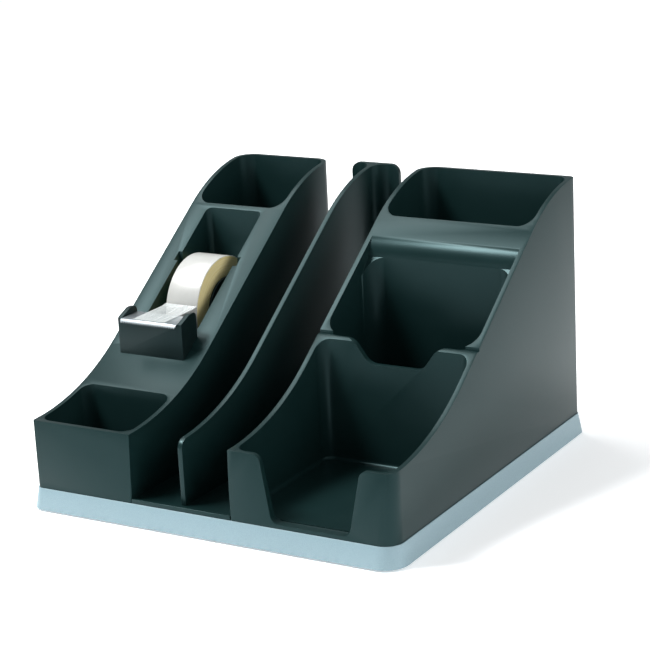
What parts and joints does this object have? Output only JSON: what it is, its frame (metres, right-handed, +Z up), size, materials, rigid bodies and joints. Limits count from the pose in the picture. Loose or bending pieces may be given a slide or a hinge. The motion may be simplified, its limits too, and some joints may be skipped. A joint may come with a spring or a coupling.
{
  "type": "desk organizer",
  "caption": "Desk organizer with a tape dispenser, pin bin, pen and scissors cups, case slots with a divider, a device pocket and a memo tray on a silver plinth.",
  "frame": {"origin": "centre of the footprint on the desk, under the feet", "axes": "+Z up, +Y from the low front to the tall rear, +X from the tape module to the memo module"},
  "size_m": [0.2036, 0.2076, 0.1366],
  "materials": {
    "slate_plastic": "satin",
    "silver_plastic": "satin silver",
    "screw_steel": "zinc plated",
    "cutter_plastic": "satin",
    "blade_steel": "bright",
    "hub_plastic": "satin",
    "core_card": "matte",
    "tape_film": "milky",
    "foot_rubber": "matte"
  },
  "bodies": {
    "organizer": {"left_module": "slate_plastic", "right_module": "slate_plastic", "slot_floor": "slate_plastic", "slot_divider": "slate_plastic", "base_plinth": "silver_plastic", "base_screws": "screw_steel", "cutter_head": "cutter_plastic", "cutter_blade": "blade_steel", "foot_front_left": "foot_rubber", "foot_front_right": "foot_rubber", "foot_rear_left": "foot_rubber", "foot_rear_right": "foot_rubber"},
    "axle_carrier": {"tape_axle": "hub_plastic", "tape_tail": "tape_film"},
    "tape_spool": {"hub_drum": "hub_plastic", "tape_core": "core_card", "tape_roll": "tape_film"}
  },
  "joints": [
    {"name": "axle_lift", "type": "slide", "parent": "organizer", "child": "axle_carrier", "axis": [0, 0, 1], "range_m": [0, 0.06]},
    {"name": "roll_spin", "type": "hinge", "parent": "axle_carrier", "child": "tape_spool", "pos_m": [-0.0714, 0.0181, 0.0744], "axis": [1, 0, 0], "continuous": true}
  ]
}
